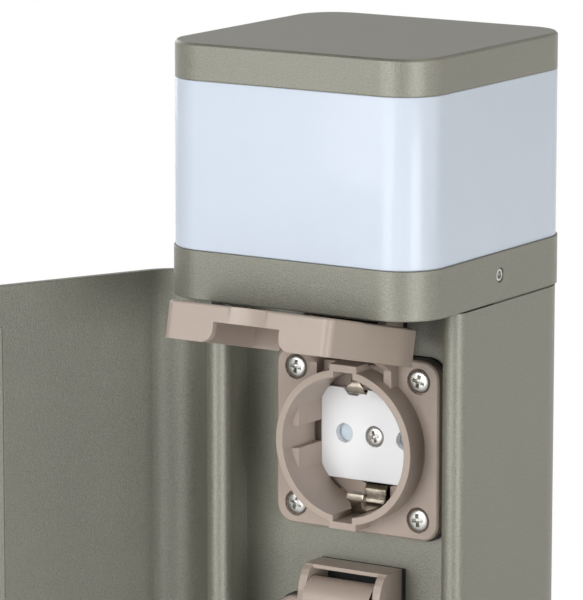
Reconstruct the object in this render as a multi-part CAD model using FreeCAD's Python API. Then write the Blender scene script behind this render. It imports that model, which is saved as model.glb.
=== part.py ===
import FreeCAD, Part
import math
import os

os.makedirs("parts", exist_ok=True)

Vec = FreeCAD.Vector
X = Vec(1, 0, 0)
Y = Vec(0, 1, 0)
Z = Vec(0, 0, 1)

# Garden lamp post with two garden sockets behind a door.
# Millimetres. +Z is up, -Y is the side the sockets look to.
# The origin is the middle of the base plate's underside, on the post's axis.

# Whole post
TOTAL_HEIGHT = 500.0
HALF = 40.0
CORNER = 12.0
SHEET = 2.0
WALL = 2.4
RUN = 0.05
GAP = 0.3

# Lamp head, from the collar up
COLLAR_HEIGHT = 13.0
GLASS_HEIGHT = 44.75
CAP_HEIGHT = 9.75
COLLAR_OVER = 0.45
COLLAR_FLOOR = 2.5
GLASS_WALL = 3.0
SPIGOT_DEPTH = 8.5
SPIGOT_HALF = HALF - 1.7
SPIGOT_CORNER = CORNER - 1.7
GASKET = 1.0
CAP_TOP = 3.0
CAP_LIP = 1.2
COLLAR_Z = TOTAL_HEIGHT - CAP_HEIGHT - GLASS_HEIGHT - COLLAR_HEIGHT
GLASS_Z = COLLAR_Z + COLLAR_HEIGHT
CAP_Z = GLASS_Z + GLASS_HEIGHT
COLLAR_HALF = HALF + COLLAR_OVER

# Post profile
PLATE = 6.0
POST_TOP = COLLAR_Z - 0.6
PANEL_Y = -0.9
PANEL_THICK = 2.0
BEAD_R = 3.3
DOOR_EDGE_Y = CORNER - HALF + 8.8
BEAD_Y = DOOR_EDGE_Y + 3.5
CHANNEL_R = 4.0

# Screws
SHANK_R = 1.6
SMALL_SHANK_R = 1.2
BIG_SHANK_R = 1.8
HEAD_R = 2.8
SMALL_HEAD_R = 2.1
BIG_HEAD_R = 3.5
FRONT_HEAD = 1.7
HIDDEN_HEAD = 1.6
ROUND_SIDES = 16
HIDDEN_SIDES = 32

# Door and lower cover
DOOR_TOP = COLLAR_Z - 0.5
DOOR_DROP = 190.0
DOOR_BOTTOM = COLLAR_Z - DOOR_DROP
COVER_TOP = DOOR_BOTTOM - 1.0
DOOR_OPEN = 116.0
HINGE_X = 3.5 - HALF
HINGE_Y = DOOR_EDGE_Y + 7.2
PIVOT_R = 2.0
HINGE_PLATE = 3.0
HINGE_REACH = 3.4
RIB_X = HALF - 8.5
RIB_Y = DOOR_EDGE_Y + 5.2
RIB_THICK = 1.6

# Sockets, measured from each socket's centre
SOCKET_DROP = 41.75
SOCKET_PITCH = 69.2
FLANGE_HALF = 25.3
FLANGE_TALL = 24.35
FLANGE_R = 5.0
FLANGE_THICK = 2.5
SEAL_THICK = 1.5
RING_R = 21.0
RING_BORE = RING_R - 2.0
RING_PROUD = 7.2
KEY_HALF = 4.2
KEY_OUT = RING_R + 1.4
KEY_SLOT_HALF = 3.0
KEY_SLOT_OUT = RING_BORE + 1.4
BODY_BORE = RING_R
BODY_R = BODY_BORE + 1.5
BODY_BACK = 30.0
INSERT_Y = 4.3
LUG_X = RING_BORE - 2.3
LUG_Y = -7.0
LUG_LOW = 3.0
LUG_HIGH = 9.0
SCREW_X = 19.15
SCREW_Z = 18.8
PIN_AT = 9.5
PIN_R = 2.65

# Hood over the lid's hinge
HOOD_HALF = 12.8
CHEEK = 2.4
CHEEK_REACH = 5.2
CHEEK_FOOT_Y = -8.4
HOOD_TOP = 35.75
HOOD_DEPTH = 7.8
HOOD_PLATE = 1.1
RELIEF_Z = 21.7

# Lid
LID_AXIS_Y = -9.0
LID_AXIS_Z = 26.45
LID_HALF = 25.2
LID_FACE = 7.0
LID_SKIN = 1.4
LID_DEPTH = 10.0
LID_START = 7.4
LID_END = 53.95
LID_CORNER = 2.5
CURL_R = 6.2
LID_OPEN = [103.0, 0.0]
DRUM_HALF = HOOD_HALF - CHEEK - 0.15
LID_PIN_R = 1.25

FLANGE_BACK = PANEL_Y - SEAL_THICK
FLANGE_Y = FLANGE_BACK - FLANGE_THICK
RIM_Y = FLANGE_Y - RING_PROUD
SOCKET_Z = [COLLAR_Z - SOCKET_DROP, COLLAR_Z - SOCKET_DROP - SOCKET_PITCH]


def save(shape, name):
    shape.exportStep("parts/" + name + ".step")


def box(x0, x1, y0, y1, z0, z1):
    return Part.makeBox(x1 - x0, y1 - y0, z1 - z0, Vec(x0, y0, z0))


def rod(x, y, z, radius, length, along):
    return Part.makeCylinder(radius, length, Vec(x, y, z), along)


def cone(x, y, z, r0, r1, length, along):
    return Part.makeCone(r0, r1, length, Vec(x, y, z), along)


def column(half, radius, z0, z1):
    # square column on the post's axis with rounded upright edges
    block = box(-half, half, -half, half, z0, z1)
    upright = [e for e in block.Edges if abs(e.tangentAt(e.FirstParameter).z) > 0.99]
    return block.makeFillet(radius, upright)


def tube(half, radius, wall, z0, z1):
    return column(half, radius, z0, z1).cut(column(half - wall, radius - wall, z0 - 1, z1 + 1))


def slab(x0, x1, z0, z1, y0, y1, radius):
    # flat plate facing -Y with rounded corners
    block = box(x0, x1, y0, y1, z0, z1)
    edges = [e for e in block.Edges if abs(e.tangentAt(e.FirstParameter).y) > 0.99]
    return block.makeFillet(radius, edges)


def outline_yz(points, x0, x1):
    wire = Part.makePolygon([Vec(x0, y, z) for y, z in points + points[:1]])
    return Part.Face(wire).extrude(Vec(x1 - x0, 0, 0))


def outline_xy(points, z0, z1):
    wire = Part.makePolygon([Vec(x, y, z0) for x, y in points + points[:1]])
    return Part.Face(wire).extrude(Vec(0, 0, z1 - z0))


def outline_xz(points, y0, y1):
    wire = Part.makePolygon([Vec(x, y0, z) for x, z in points + points[:1]])
    return Part.Face(wire).extrude(Vec(0, y1 - y0, 0))


def bar(x, y, z, radius, length, along, sides=8):
    # straight flat-sided bar, it stands for a small or hidden round one
    across = Vec(along.z, along.x, along.y)
    other = along.cross(across)
    ring = []
    for k in range(sides + 1):
        angle = 2 * math.pi * (k + 0.5) / sides
        ring.append(Vec(x, y, z) + across * (radius * math.cos(angle)) + other * (radius * math.sin(angle)))
    return Part.Face(Part.makePolygon(ring)).extrude(along * length)


def cross_recess(x, y, z, size, depth):
    # Phillips recess, open towards -Y
    arm = size * 0.18
    flat = box(x - size, x + size, y, y + depth, z - arm, z + arm)
    return flat.fuse(box(x - arm, x + arm, y, y + depth, z - size, z + size))


def front_screw(x, y, z, head_r, head_h, shank_r, length):
    # flush round head with a cross recess, driven in from the front
    head = bar(x, y, z, head_r, head_h, Y, ROUND_SIDES)
    head = head.fuse(bar(x, y + head_h, z, shank_r, length - head_h, Y))
    return head.cut(cross_recess(x, y, z, head_r * 0.6, head_h * 0.6))


def front_screw_hole(x, y, z, head_r, head_h, shank_r, length):
    hole = bar(x, y, z, head_r + RUN, head_h, Y, ROUND_SIDES)
    return hole.fuse(bar(x, y, z, shank_r + RUN, length, Y))


def hidden_screw(x, y, z, length, along, shank_r, head_r):
    # plain screw where nobody sees it, (x, y, z) is where its head seats
    start = Vec(x, y, z) - along * HIDDEN_HEAD
    head = bar(start.x, start.y, start.z, head_r, HIDDEN_HEAD, along)
    return head.fuse(bar(x, y, z, shank_r, length, along))


def group(shapes):
    return Part.makeCompound(shapes)


# Screw channels inside the chamber: two behind the front panel, two in the back corners
inside = HALF - WALL
front_in = PANEL_Y + PANEL_THICK
front_channel = (inside - CHANNEL_R + 0.4, front_in + CHANNEL_R - 0.4)
arc = CORNER - WALL
diagonal = (arc + 0.6 - CHANNEL_R) / math.sqrt(2)
back_channel = (inside - arc + diagonal, inside - arc + diagonal)
CHANNELS = []
for side in (-1, 1):
    CHANNELS.append((side * front_channel[0], front_channel[1]))
    CHANNELS.append((side * back_channel[0], back_channel[1]))

# Base plate: flat steel with four anchor holes, four sunk holes for the screws up into the
# profile and the cable's hole; two small angles welded on it take the cover's bottom screws
ANCHOR_AT = 52.0
ANCHOR_R = 4.5
BASE_HALF = 65.0
CABLE_Y = 20.0
CABLE_R = 6.0
GROMMET_R = 9.0
SCREW_POCKET = 2.2
TAB_HALF = 6.0
TAB_X = HALF - CORNER - TAB_HALF
TAB_TOP = 22.0
TAB_THICK = 2.5
TAB_FOOT = 14.0
COVER_SCREW_Z = 15.0
cover_in_y = -HALF + SHEET
base = column(BASE_HALF, 10.0, 0, PLATE)
brackets = []
for sx in (-1, 1):
    for sy in (-1, 1):
        base = base.cut(rod(sx * ANCHOR_AT, sy * ANCHOR_AT, -1, ANCHOR_R, PLATE + 2, Z))
    x0, x1 = sx * TAB_X - TAB_HALF, sx * TAB_X + TAB_HALF
    bracket = box(x0, x1, cover_in_y, cover_in_y + TAB_THICK, PLATE, TAB_TOP)
    bracket = bracket.fuse(box(x0, x1, cover_in_y, cover_in_y + TAB_FOOT, PLATE, PLATE + TAB_THICK))
    brackets.append(bracket.cut(bar(sx * TAB_X, cover_in_y - 1, COVER_SCREW_Z, BIG_SHANK_R + RUN, 5, Y)))
for x, y in CHANNELS:
    base = base.cut(bar(x, y, -1, SHANK_R + RUN, PLATE + 2, Z))
    base = base.cut(bar(x, y, -1, HEAD_R + RUN, SCREW_POCKET + 1, Z))
base = base.cut(rod(0, CABLE_Y, -1, GROMMET_R, PLATE + 2, Z))
save(base, "base_plate")
save(group(brackets), "cover_brackets")

base_screws = [hidden_screw(x, y, SCREW_POCKET, 18, Z, SHANK_R, HEAD_R) for x, y in CHANNELS]
save(group(base_screws), "base_screws")

# Cable grommet: rubber bush in the plate's hole, it guides the feed cable up into the chamber
grommet = rod(0, CABLE_Y, 0.5, GROMMET_R - RUN, PLATE - 0.5, Z)
grommet = grommet.fuse(rod(0, CABLE_Y, PLATE, GROMMET_R + 3, 2, Z))
grommet = grommet.cut(rod(0, CABLE_Y, 0, CABLE_R, PLATE + 3, Z))
save(grommet, "cable_grommet")

# Post profile: one extrusion, a closed chamber behind the panel and two fins that run forward
# past it and end in beads; the left fin is cut away where the door's hinge plates swing
ACCESS_X = 26.0
ACCESS_Z0 = 45.0
ACCESS_Z1 = 205.0
NOTCH_Y = -4.0
TOP_PLATE_Z = DOOR_TOP - 4.8
LOW_PLATE_Z = DOOR_BOTTOM + 3.0
SILL_Z = COVER_TOP - 0.5 - 3.0
SILL_TOP = SILL_Z + 3.0
outer = column(HALF, CORNER, PLATE, POST_TOP)
hollow = column(inside, arc, PLATE - 1, POST_TOP + 1)
chamber = outer.common(box(-HALF, HALF, PANEL_Y, HALF, PLATE, POST_TOP))
post = chamber.cut(hollow.common(box(-HALF, HALF, front_in, HALF, PLATE - 1, POST_TOP + 1)))
for side in (-1, 1):
    x0, x1 = sorted((side * HALF, side * inside))
    post = post.fuse(box(x0, x1, BEAD_Y, PANEL_Y + 0.5, PLATE, POST_TOP))
    post = post.fuse(rod(side * (HALF - BEAD_R), BEAD_Y, PLATE, BEAD_R, POST_TOP - PLATE, Z))
for x, y in CHANNELS:
    boss = rod(x, y, PLATE, CHANNEL_R, POST_TOP - PLATE, Z).common(chamber)
    post = post.fuse(boss).cut(bar(x, y, PLATE - 1, SHANK_R + RUN, POST_TOP - PLATE + 2, Z))
fin_front = BEAD_Y - BEAD_R - 1
fin_side = 1 - HALF + 3 * BEAD_R
post = post.cut(box(-HALF - 1, fin_side, fin_front, NOTCH_Y, TOP_PLATE_Z - 1.2, POST_TOP + 1))
post = post.cut(box(-HALF - 1, fin_side, fin_front, NOTCH_Y, SILL_Z - 0.5, LOW_PLATE_Z + HINGE_PLATE + 1.2))
post = post.cut(box(-ACCESS_X, ACCESS_X, PANEL_Y - 1, front_in + 1, ACCESS_Z0, ACCESS_Z1))
for zc in SOCKET_Z:
    post = post.cut(rod(0, PANEL_Y - 1, zc, BODY_R + GAP, PANEL_THICK + 2, Y))
    for sx in (-1, 1):
        for sz in (-1, 1):
            hole = bar(sx * SCREW_X, PANEL_Y - 1, zc + sz * SCREW_Z, SHANK_R + RUN, PANEL_THICK + 2, Y)
            post = post.cut(hole)

# Mounting plate with the driver and the terminal block, reached through the access opening
TRAY_HALF = 25.0
TRAY_Z0 = 52.0
TRAY_Z1 = 200.0
TRAY_THICK = 2.0
tray_y = inside - TRAY_THICK
tray = slab(-TRAY_HALF, TRAY_HALF, TRAY_Z0, TRAY_Z1, tray_y, inside, 3.0)
DRIVER_Z0 = 112.0
DRIVER_Z1 = 182.0
DRIVER_HALF = 20.0
DRIVER_DEEP = 19.0
TERMINAL_Z = 78.0
TERMINAL_HALF = 17.0
inner_screws = []
for sx in (-1, 1):
    for z in (TRAY_Z0 + 6, TRAY_Z1 - 6):
        x = sx * (TRAY_HALF - 5)
        tray = tray.cut(bar(x, tray_y - 1, z, SHANK_R + RUN, TRAY_THICK + 2, Y))
        post = post.cut(bar(x, inside - 1, z, SHANK_R + RUN, WALL, Y))
        inner_screws.append(hidden_screw(x, tray_y, z, TRAY_THICK + 1.2, Y, SHANK_R, HEAD_R))
driver = slab(-DRIVER_HALF, DRIVER_HALF, DRIVER_Z0 + 6, DRIVER_Z1 - 6, tray_y - DRIVER_DEEP, tray_y, 2.0)
FOOT = 2.0
for z0, z1, zs in ((DRIVER_Z0, DRIVER_Z0 + 7, DRIVER_Z0 + 3), (DRIVER_Z1 - 7, DRIVER_Z1, DRIVER_Z1 - 3)):
    driver = driver.fuse(box(-9, 9, tray_y - FOOT, tray_y, z0, z1))
    driver = driver.cut(bar(0, tray_y - FOOT - 1, zs, SHANK_R + RUN, FOOT + 2, Y))
    tray = tray.cut(bar(0, tray_y - 1, zs, SHANK_R + RUN, TRAY_THICK + 2, Y))
    inner_screws.append(hidden_screw(0, tray_y - FOOT, zs, FOOT + TRAY_THICK - 0.4, Y, SHANK_R, HEAD_R))
TERMINAL_DEEP = 13.0
TERMINAL_TALL = 9.0
CLAMP_R = 2.2
terminal = box(-TERMINAL_HALF, TERMINAL_HALF, tray_y - TERMINAL_DEEP, tray_y,
               TERMINAL_Z - TERMINAL_TALL, TERMINAL_Z + TERMINAL_TALL)
terminal_screws = []
for i in range(3):
    x = (i - 1) * 10.0
    for sz in (-1, 1):
        z = TERMINAL_Z + sz * TERMINAL_TALL / 2
        terminal = terminal.cut(bar(x, tray_y - TERMINAL_DEEP - 1, z, CLAMP_R + RUN, 6, Y))
        z0, z1 = sorted((z + sz, z + sz * TERMINAL_TALL))
        terminal = terminal.cut(box(x - 1.6, x + 1.6, tray_y - 6.6, tray_y - 3.4, z0, z1))
        clamp = bar(x, tray_y - TERMINAL_DEEP + 1.5, z, CLAMP_R, 3.5, Y)
        slot_y = tray_y - TERMINAL_DEEP
        clamp = clamp.cut(box(x - 3, x + 3, slot_y, slot_y + 2.3, z - 0.4, z + 0.4))
        terminal_screws.append(clamp)
save(tray, "mounting_plate")
save(driver, "led_driver")
save(terminal, "terminal_block")
save(group(terminal_screws), "terminal_screws")
save(group(inner_screws), "mounting_screws")

# Sill plate: closes the lower compartment under the door; its front flange takes the cover's
# top screws, its upstand is the lock's keeper and its left tab carries the door's lower pivot
KEEPER_X = HALF - 22.0
LOCK_Z = SILL_TOP + 21.0
LOCK_Y = -HALF
sill_edge = HALF - 2 * BEAD_R - 1.2
ear_x = HALF - 0.6
ear_back = HINGE_Y + 5
ear_front = DOOR_EDGE_Y + 0.6
front_y = DOOR_EDGE_Y - 1
front_x = inside - 1
flat_x = HALF - CORNER
sill = outline_xy([(-sill_edge, PANEL_Y), (-sill_edge, ear_back), (-ear_x, ear_back), (-ear_x, ear_front),
                   (-sill_edge, ear_front), (-sill_edge, front_y), (-front_x, front_y), (-front_x, -flat_x),
                   (-flat_x, cover_in_y), (flat_x, cover_in_y), (front_x, -flat_x), (front_x, front_y),
                   (sill_edge, front_y), (sill_edge, PANEL_Y)], SILL_Z, SILL_TOP)
FLANGE_DROP = 16.0
sill = sill.fuse(box(-flat_x, flat_x, cover_in_y, cover_in_y + 2, SILL_Z - FLANGE_DROP, SILL_Z))
sill = sill.fuse(box(-flat_x, flat_x, PANEL_Y - 2, PANEL_Y, SILL_Z - FLANGE_DROP, SILL_Z))
sill = sill.fuse(box(KEEPER_X - 8, KEEPER_X + 8, LOCK_Y + 4.2, LOCK_Y + 6.2, SILL_TOP, SILL_TOP + 9))
sill = sill.cut(rod(HINGE_X, HINGE_Y, SILL_Z - 1, PIVOT_R + RUN, 5, Z))
sill_screws = []
flange_mid = SILL_Z - FLANGE_DROP / 2
for sx in (-1, 1):
    x = sx * flat_x * 0.7
    sill = sill.cut(bar(x, PANEL_Y - 3, flange_mid, SHANK_R + RUN, 4, Y))
    sill = sill.cut(bar(sx * TAB_X, cover_in_y - 1, flange_mid, BIG_SHANK_R + RUN, 4, Y))
    post = post.cut(bar(x, PANEL_Y - 1, flange_mid, SHANK_R + RUN, 4, Y))
    sill_screws.append(hidden_screw(x, PANEL_Y - 2, flange_mid, 4.5, Y, SHANK_R, HEAD_R))
save(sill, "sill_plate")
save(group(sill_screws), "sill_screws")
save(post, "post_profile")

# Lower pivot: shouldered pin riveted in the sill's tab, the door's weight rests on its shoulder
shoulder_top = LOW_PLATE_Z - 0.1
low_pivot = rod(HINGE_X, HINGE_Y, SILL_Z, PIVOT_R, LOW_PLATE_Z + HINGE_PLATE + 0.8 - SILL_Z, Z)
low_pivot = low_pivot.fuse(rod(HINGE_X, HINGE_Y, SILL_TOP, 3.2, shoulder_top - SILL_TOP, Z))
save(low_pivot, "lower_pivot")

# Lower cover: the same bent profile as the door, screwed in front of the terminal chamber
def front_profile(z0, z1):
    return tube(HALF, CORNER, SHEET, z0, z1).common(box(-HALF, HALF, -HALF, DOOR_EDGE_Y, z0, z1))


cover = front_profile(PLATE + 0.5, COVER_TOP)
cover_screws = []
for sx in (-1, 1):
    for z in (COVER_SCREW_Z, flange_mid):
        cover = cover.cut(front_screw_hole(sx * TAB_X, -HALF, z, BIG_HEAD_R, FRONT_HEAD, BIG_SHANK_R, 4))
        cover_screws.append(front_screw(sx * TAB_X, -HALF, z, BIG_HEAD_R, FRONT_HEAD, BIG_SHANK_R, 8))
save(cover, "lower_cover")
save(group(cover_screws), "cover_screws")

# Collar: shallow cast tray on the post's top; it overhangs the sockets and holds the upper pivot
ROD_X = HALF - 14.0
ROD_Y = 8.0
PIVOT_BOSS_R = 4.4
WIRE_HOLE_R = 7.0
GRUB_R = 1.9
GRUB_Y = 0.7
GRUB_UP = 6.9
collar = tube(COLLAR_HALF, CORNER + COLLAR_OVER, SHEET, COLLAR_Z, GLASS_Z)
floor = column(COLLAR_HALF, CORNER + COLLAR_OVER, COLLAR_Z, COLLAR_Z + COLLAR_FLOOR)
collar = collar.fuse(floor)
# a thin step under the floor rests on the profile's closed chamber
step = column(HALF - 0.4, CORNER - 0.4, POST_TOP, COLLAR_Z)
collar = collar.fuse(step.common(box(-HALF, HALF, PANEL_Y, HALF, POST_TOP, COLLAR_Z)))
for x, y in CHANNELS:
    collar = collar.cut(bar(x, y, POST_TOP - 1, SHANK_R + RUN, 6, Z))
pivot_boss = rod(HINGE_X, HINGE_Y, COLLAR_Z, PIVOT_BOSS_R, 5.5, Z).common(
    column(COLLAR_HALF - 0.5, CORNER, COLLAR_Z, GLASS_Z))
collar = collar.fuse(pivot_boss).cut(rod(HINGE_X, HINGE_Y, COLLAR_Z - 1, PIVOT_R + RUN, 5.5, Z))
collar = collar.cut(rod(0, CABLE_Y, COLLAR_Z - 1, WIRE_HOLE_R, 6, Z))
for sx in (-1, 1):
    collar = collar.cut(bar(sx * ROD_X, ROD_Y, COLLAR_Z - 1, BIG_SHANK_R + RUN, 6, Z))
    collar = collar.cut(bar(sx * ROD_X, ROD_Y, POST_TOP - 1, BIG_HEAD_R + RUN, COLLAR_Z - POST_TOP + 1, Z))
    collar = collar.cut(rod(sx * (COLLAR_HALF - 5), GRUB_Y, COLLAR_Z + GRUB_UP, GRUB_R + RUN, 6, X * sx))
save(collar, "collar")

floor_top = COLLAR_Z + COLLAR_FLOOR
collar_screws = [hidden_screw(x, y, floor_top, 16, Z * -1, SHANK_R, HEAD_R) for x, y in CHANNELS]
save(group(collar_screws), "collar_screws")

# Grub screws: one in each side of the collar, they clamp the glass's spigot
grubs = []
for sx in (-1, 1):
    reach = COLLAR_HALF - 0.3 - SPIGOT_HALF
    grub = rod(sx * SPIGOT_HALF, GRUB_Y, COLLAR_Z + GRUB_UP, GRUB_R, reach, X * sx)
    grub = grub.cut(bar(sx * (COLLAR_HALF - 1.5), GRUB_Y, COLLAR_Z + GRUB_UP, 1.15, 3, X * sx, 6))
    grubs.append(grub)
save(group(grubs), "grub_screws")

# Upper pivot: pin pressed up into the collar's boss, the door's top hinge plate turns on it
up_low = TOP_PLATE_Z - 0.5
save(rod(HINGE_X, HINGE_Y, up_low, PIVOT_R, COLLAR_Z + 4.5 - up_low, Z), "upper_pivot")

# Diffuser: opal square tube, its spigot stands in the collar on a flat seal
glass = tube(HALF, CORNER, GLASS_WALL, GLASS_Z, CAP_Z)
glass_in = HALF - GLASS_WALL
spigot_z = GLASS_Z - SPIGOT_DEPTH
spigot = column(SPIGOT_HALF, SPIGOT_CORNER, spigot_z, GLASS_Z).cut(
    column(glass_in, CORNER - GLASS_WALL, spigot_z - 1, GLASS_Z + 1))
pivot_room = rod(HINGE_X, HINGE_Y, spigot_z - 1, PIVOT_BOSS_R + 0.2, 2.2, Z)
glass = glass.fuse(spigot).cut(pivot_room)
save(glass, "diffuser")

seal_low = column(SPIGOT_HALF, SPIGOT_CORNER, COLLAR_Z + COLLAR_FLOOR, spigot_z).cut(
    column(glass_in, CORNER - GLASS_WALL, COLLAR_Z, GLASS_Z))
save(seal_low.cut(rod(HINGE_X, HINGE_Y, COLLAR_Z, PIVOT_BOSS_R + 0.2, 12, Z)), "diffuser_gasket")

# Cap: cast lid with a rim down inside the glass, two bosses for the tie rods and a seal
cap = column(HALF, CORNER, CAP_Z, TOTAL_HEIGHT)
top_edges = [e for e in cap.Edges if abs(e.BoundBox.ZMin - TOTAL_HEIGHT) < 0.01]
cap = cap.makeChamfer(0.6, top_edges)
cap_in = glass_in - 0.2
rim_wall = 2.0
cap = cap.fuse(tube(cap_in, CORNER - GLASS_WALL - 0.2, rim_wall, CAP_Z - 3, CAP_Z + 1))
cap = cap.cut(column(cap_in - rim_wall, CORNER - GLASS_WALL - 2.2, CAP_Z - 4, TOTAL_HEIGHT - CAP_TOP))
groove = column(HALF - CAP_LIP, CORNER - CAP_LIP, CAP_Z, CAP_Z + GASKET).cut(
    column(cap_in, CORNER - GLASS_WALL - 0.2, CAP_Z - 1, CAP_Z + 3))
cap = cap.cut(groove)
BOSS_LOW = TOTAL_HEIGHT - CAP_TOP - 7
for sx in (-1, 1):
    cap = cap.fuse(bar(sx * ROD_X, ROD_Y, BOSS_LOW, 4.5, TOTAL_HEIGHT - CAP_TOP - BOSS_LOW, Z, ROUND_SIDES))
    cap = cap.cut(bar(sx * ROD_X, ROD_Y, BOSS_LOW - 1, BIG_SHANK_R + RUN, 6, Z))
save(groove, "cap_gasket")

tie_rods = []
tie_screws = []
for sx in (-1, 1):
    tie = bar(sx * ROD_X, ROD_Y, floor_top, 3.4, BOSS_LOW - floor_top, Z, 6)
    tie = tie.fuse(bar(sx * ROD_X, ROD_Y, BOSS_LOW, BIG_SHANK_R, 4.5, Z))
    tie = tie.cut(bar(sx * ROD_X, ROD_Y, floor_top - 1, BIG_SHANK_R + RUN, 11, Z))
    tie_rods.append(tie)
    tie_screws.append(hidden_screw(sx * ROD_X, ROD_Y, COLLAR_Z, 9, Z, BIG_SHANK_R, BIG_HEAD_R))
save(group(tie_rods), "tie_rods")
save(group(tie_screws), "tie_screws")

# LED board under the cap, with its light chips and four small screws
BOARD_HALF_X = HALF - 19.0
BOARD_HALF_Y = HALF - 14.0
BOARD = 1.6
board_top = TOTAL_HEIGHT - CAP_TOP
board = box(-BOARD_HALF_X, BOARD_HALF_X, -BOARD_HALF_Y, BOARD_HALF_Y, board_top - BOARD, board_top)
chips = []
pitch_x = (2 * BOARD_HALF_X - 12) / 3
pitch_y = (2 * BOARD_HALF_Y - 10) / 4
for i in range(4):
    for j in range(5):
        x = (i - 1.5) * pitch_x
        y = (j - 2) * pitch_y
        chips.append(box(x - 1.4, x + 1.4, y - 1.75, y + 1.75, board_top - BOARD - 0.8, board_top - BOARD))
board_screws = []
for sx in (-1, 1):
    for sy in (-1, 1):
        x = sx * (BOARD_HALF_X - 2.4)
        y = sy * (BOARD_HALF_Y - 2.6)
        board = board.cut(bar(x, y, board_top - 5, SMALL_SHANK_R + RUN, 6, Z))
        cap = cap.cut(bar(x, y, board_top - 1, SMALL_SHANK_R + RUN, 2.8, Z))
        screw = hidden_screw(x, y, board_top - BOARD, BOARD + 1.5, Z, SMALL_SHANK_R, SMALL_HEAD_R)
        board_screws.append(screw)
save(cap, "cap")
save(board, "led_board")
save(group(chips), "led_chips")
save(group(board_screws), "board_screws")

# Door: bent sheet that follows the post's front, with a rain rib inside its free edge and a
# round notch in its foot for the plugs' cords; built shut, then swung open about the pivots
door_parts = {}
door = front_profile(DOOR_BOTTOM, DOOR_TOP)
rib_x0 = RIB_X - RIB_THICK / 2
rib = box(rib_x0, rib_x0 + RIB_THICK, cover_in_y - 0.8, RIB_Y, DOOR_BOTTOM + 8, DOOR_TOP - 6)
door = door.fuse(rib)
door = door.cut(rod(-8, -HALF - 1, DOOR_BOTTOM, 9.0, SHEET + 2, Y))
LOCK_BARREL_R = 8.0
PLUG_R = 5.5
NUT_R = 10.8
door = door.cut(rod(KEEPER_X, -HALF - 1, LOCK_Z, LOCK_BARREL_R + RUN, SHEET + 2, Y))

plates = []
rivets = []
plate_in = -HALF + SHEET
EAR_FRONT = CORNER - HALF + 0.5
EAR_WIDE = 7.5
RIVET_Y = EAR_FRONT + 3.5
for z in (LOW_PLATE_Z, TOP_PLATE_Z):
    plate = rod(HINGE_X, HINGE_Y, z, HINGE_REACH, HINGE_PLATE, Z)
    arm = box(plate_in, HINGE_X + HINGE_REACH, EAR_FRONT + 1, HINGE_Y, z, z + HINGE_PLATE)
    plate = plate.common(box(plate_in, 0, -30, 0, z, z + HINGE_PLATE)).fuse(arm)
    if z == LOW_PLATE_Z:
        ear = box(plate_in, plate_in + 2, EAR_FRONT, EAR_FRONT + EAR_WIDE, z, z + 12)
        rivet_z = z + 8
    else:
        ear = box(plate_in, plate_in + 2, EAR_FRONT, EAR_FRONT + EAR_WIDE, z - 9, z + HINGE_PLATE)
        rivet_z = z - 5
    plate = plate.fuse(ear)
    plate = plate.cut(rod(HINGE_X, HINGE_Y, z - 1, PIVOT_R + RUN, HINGE_PLATE + 2, Z))
    plate = plate.cut(bar(plate_in - 1, RIVET_Y, rivet_z, SHANK_R + RUN, 4, X))
    plates.append(plate)
    door = door.cut(bar(-HALF - 1, RIVET_Y, rivet_z, SHANK_R + RUN, 4, X))
    rivet = bar(-HALF, RIVET_Y, rivet_z, SHANK_R, 2 * SHEET, X)
    rivet = rivet.fuse(bar(-HALF - 1, RIVET_Y, rivet_z, HEAD_R, 1, X, ROUND_SIDES))
    rivet = rivet.fuse(bar(plate_in + 2, RIVET_Y, rivet_z, SMALL_HEAD_R, 0.8, X, ROUND_SIDES))
    rivets.append(rivet)
door_parts["door"] = door
door_parts["hinge_plates"] = group(plates)
door_parts["hinge_rivets"] = group(rivets)

# Cam lock low on the door's free side: bezel and barrel, ring nut, key plug, cam and its screw
barrel_end = LOCK_Y + 6.7
barrel = rod(KEEPER_X, LOCK_Y, LOCK_Z, LOCK_BARREL_R, barrel_end - LOCK_Y, Y)
barrel = barrel.fuse(rod(KEEPER_X, LOCK_Y - 1.5, LOCK_Z, 10.0, 1.5, Y))
barrel = barrel.cut(rod(KEEPER_X, LOCK_Y - 2, LOCK_Z, PLUG_R + RUN, 12, Y))
nut_y = LOCK_Y + SHEET
nut = bar(KEEPER_X, nut_y, LOCK_Z, NUT_R, 2.6, Y, 6)
nut.rotate(Vec(KEEPER_X, nut_y, LOCK_Z), Y, 30)
nut = nut.cut(rod(KEEPER_X, nut_y - 1, LOCK_Z, LOCK_BARREL_R + RUN, 6, Y))
plug = rod(KEEPER_X, LOCK_Y - 1.2, LOCK_Z, PLUG_R, barrel_end + 0.2 - LOCK_Y + 1.2, Y)
plug = plug.cut(box(KEEPER_X - 0.5, KEEPER_X + 0.5, LOCK_Y - 2, LOCK_Y + 4, LOCK_Z - 3.4, LOCK_Z + 3.4))
plug = plug.cut(bar(KEEPER_X, barrel_end - 3, LOCK_Z, SMALL_SHANK_R + RUN, 5, Y))
cam_y = barrel_end + 0.2
cam = box(KEEPER_X - 20, KEEPER_X, cam_y, cam_y + 2, LOCK_Z - 5, LOCK_Z + 5)
cam = cam.fuse(rod(KEEPER_X, cam_y, LOCK_Z, 5.0, 2, Y))
cam = cam.cut(bar(KEEPER_X, cam_y - 1, LOCK_Z, SMALL_SHANK_R + RUN, 4, Y))
head = bar(KEEPER_X, cam_y + 2, LOCK_Z, HEAD_R, 1.6, Y, ROUND_SIDES)
cam_screw = head.fuse(bar(KEEPER_X, cam_y - 2.6, LOCK_Z, SMALL_SHANK_R, 4.6, Y))
cam_screw = cam_screw.cut(box(KEEPER_X - 3, KEEPER_X + 3, cam_y + 2.9, cam_y + 4, LOCK_Z - 0.4, LOCK_Z + 0.4))
door_parts["lock_barrel"] = barrel
door_parts["lock_nut"] = nut
door_parts["lock_plug"] = plug
door_parts["lock_cam"] = cam
door_parts["cam_screw"] = cam_screw
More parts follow.
